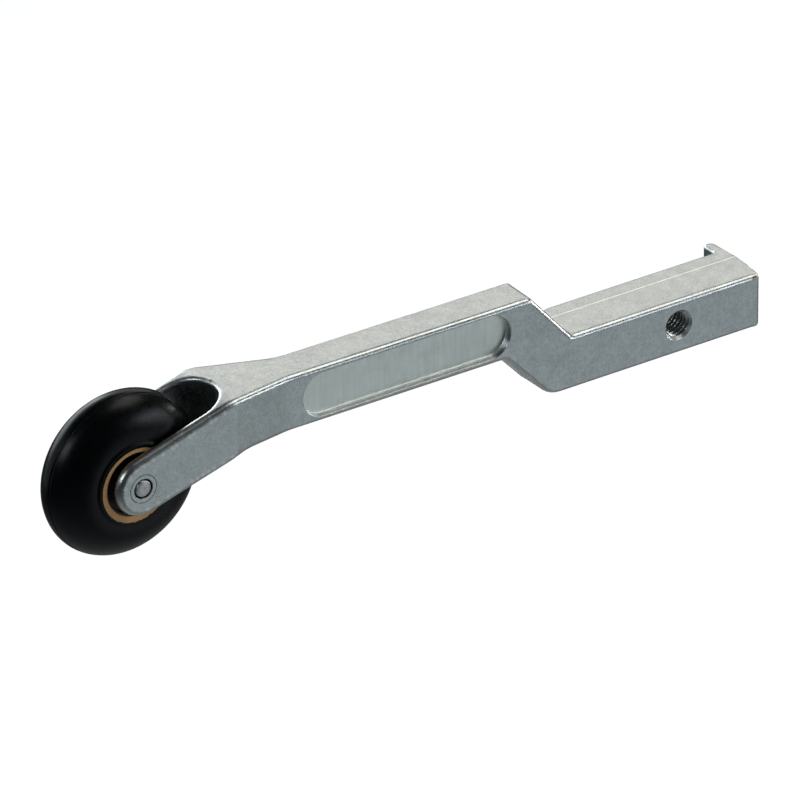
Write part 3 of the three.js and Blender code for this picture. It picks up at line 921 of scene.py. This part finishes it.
def make_camera():
    data = bpy.data.cameras.new("camera")
    data.lens = VIEW_LENS
    data.sensor_width = 36
    data.clip_start = 0.1
    data.clip_end = 20
    camera = bpy.data.objects.new("camera", data)
    bpy.context.scene.collection.objects.link(camera)
    back = Vector((
        math.sin(VIEW_AZIMUTH) * math.cos(VIEW_ELEVATION),
        -math.cos(VIEW_AZIMUTH) * math.cos(VIEW_ELEVATION),
        math.sin(VIEW_ELEVATION),
    ))
    right = Vector((math.cos(VIEW_AZIMUTH), math.sin(VIEW_AZIMUTH), 0))
    up = back.cross(right)
    turn = Matrix.Rotation(VIEW_ROLL, 3, back)
    axes = Matrix((turn @ right, turn @ up, back)).transposed()
    camera.matrix_world = Matrix.Translation(VIEW_AIM + back * VIEW_DISTANCE) @ axes.to_4x4()
    bpy.context.scene.camera = camera


def place_light(data, place, aim):
    """Puts a light in the scene, facing aim."""
    light = bpy.data.objects.new(data.name, data)
    bpy.context.scene.collection.objects.link(light)
    light.location = place
    light.rotation_euler = (Vector(aim) - Vector(place)).to_track_quat("-Z", "Y").to_euler()


def area_light(name, place, aim, width, height, watts, colour):
    data = bpy.data.lights.new(name, "AREA")
    data.shape = "RECTANGLE"
    data.size = width
    data.size_y = height
    data.energy = watts
    data.color = colour
    place_light(data, place, aim)


def backdrop_spot(place, aim, angle, watts):
    """A spot that whitens the paper beyond the part, where the camera sees it."""
    data = bpy.data.lights.new("backdrop_spot", "SPOT")
    data.spot_size = angle
    data.spot_blend = 0.3
    data.shadow_soft_size = 0.1
    data.energy = watts
    place_light(data, place, aim)


def make_studio():
    half = FLOOR_HALF_WIDTH
    corners = ((-half, -half), (half, -half), (half, half), (-half, half))
    floor = new_object("floor", [(x, y, FLOOR_Z) for x, y in corners], [(0, 1, 2, 3)])
    paper = Finish("studio_paper", Roughness=0.9)
    tone = paper.ranged(paper.noise(0.4, detail=2), 0.3, 0.7)
    paper.colour(paper.blend(tone, (0.86, 0.86, 0.86), (0.88, 0.88, 0.88)))
    floor.data.materials.append(paper.material)

    world = bpy.data.worlds.new("studio")
    world.use_nodes = True
    background = world.node_tree.nodes["Background"]
    background.inputs["Color"].default_value = (0.75, 0.9, 1, 1)
    background.inputs["Strength"].default_value = 0.04
    bpy.context.scene.world = world

    for softbox in SOFTBOXES:
        area_light(*softbox)
    backdrop_spot((BEYOND.x, BEYOND.y, 1.2), BEYOND, math.radians(32), 330)


# ---- Build ---------------------------------------------------------------------------------

make_camera()
make_studio()

zinc = cast_zinc()
rubber = tyre_rubber()
bronze = sleeve_bronze()
pin_steel = turned_steel("pin_steel", (0.62, 0.62, 0.62), 0.12 * MM, 0.3)
bearing_steel = turned_steel("bearing_steel", (0.68, 0.69, 0.7), 0.2 * MM, 0.18)
# Painted shade: the bearings' rings and spacers are near-black steel, for the shade they sit in inside the
# sleeve.
painted_shade_steel = turned_steel("painted_shade_steel", (0.05, 0.045, 0.045), 0.2 * MM, 0.4)
seal_black = seal_rubber()
nylon = cage_nylon()

dress(make_casting(), zinc, "arm", "cast_zinc", "arm_casting")
dress(make_pin(), pin_steel, "arm", "pin_steel", "axle_pin")
dress(make_tyre(), rubber, "roller", "tyre_rubber", "tyre")
dress(make_sleeve(), bronze, "roller", "sleeve_bronze", "hub_sleeve")

for label in BEARING_LABELS:
    refinish(f"{label}_spacer", painted_shade_steel)
    refinish(f"{label}_bearing_outer_ring", painted_shade_steel)
    refinish(f"{label}_bearing_inner_ring", painted_shade_steel)
    refinish(f"{label}_bearing_front_seal", seal_black)
    refinish(f"{label}_bearing_rear_seal", seal_black)
    refinish(f"{label}_bearing_cage", nylon)
    for number in range(1, BALLS_PER_BEARING + 1):
        refinish(f"{label}_bearing_ball_{number}", bearing_steel)

bpy.context.scene.view_settings.view_transform = "Standard"
